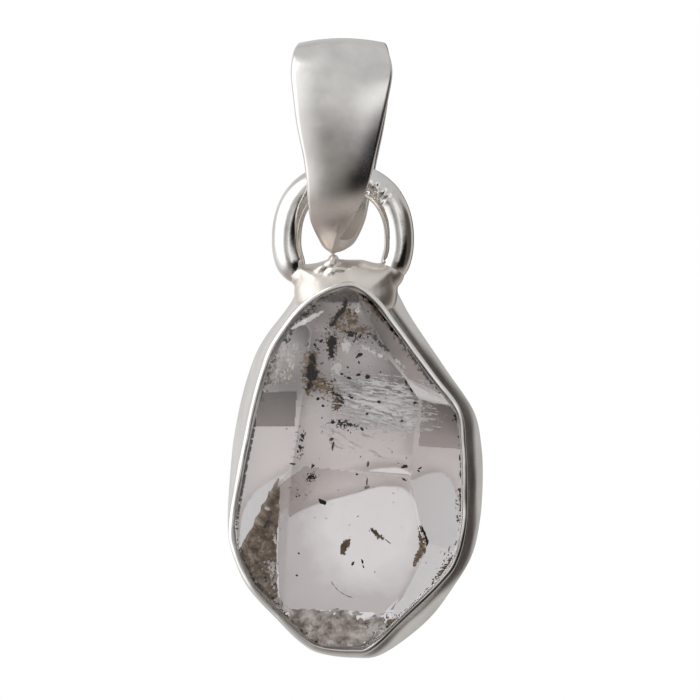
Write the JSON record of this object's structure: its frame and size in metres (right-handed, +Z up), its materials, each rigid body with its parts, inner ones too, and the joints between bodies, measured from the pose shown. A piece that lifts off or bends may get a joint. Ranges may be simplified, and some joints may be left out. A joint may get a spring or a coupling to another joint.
{
  "type": "herkimer diamond pendant",
  "caption": "Clear doubly terminated quartz crystal held in a flared silver bezel with a window in its back, hanging by a jump ring from a tapered folded bail.",
  "frame": {"origin": "inside the top of the bail's loop, at its middle, where a chain or cord bears", "axes": "+Z up along the hanging pendant, -Y out of its front, +X to the right as seen from the front and along a chain through the bail"},
  "size_m": [0.0107, 0.0068, 0.0261],
  "materials": {
    "quartz": "clear, natural crystal faces with inclusions",
    "silver": "polished sterling silver with hand-worked marks"
  },
  "bodies": {
    "hanger": {"bail": "silver"},
    "pendant": {"jump_ring": "silver", "neck": "silver", "bezel_wall": "silver", "back_frame": "silver", "herkimer_crystal": "quartz"}
  },
  "joints": [
    {"name": "swing", "type": "hinge", "parent": "hanger", "child": "pendant", "pos_m": [0, 0, -0.00536], "axis": [1, 0, 0], "range_deg": [-108, 112]}
  ]
}
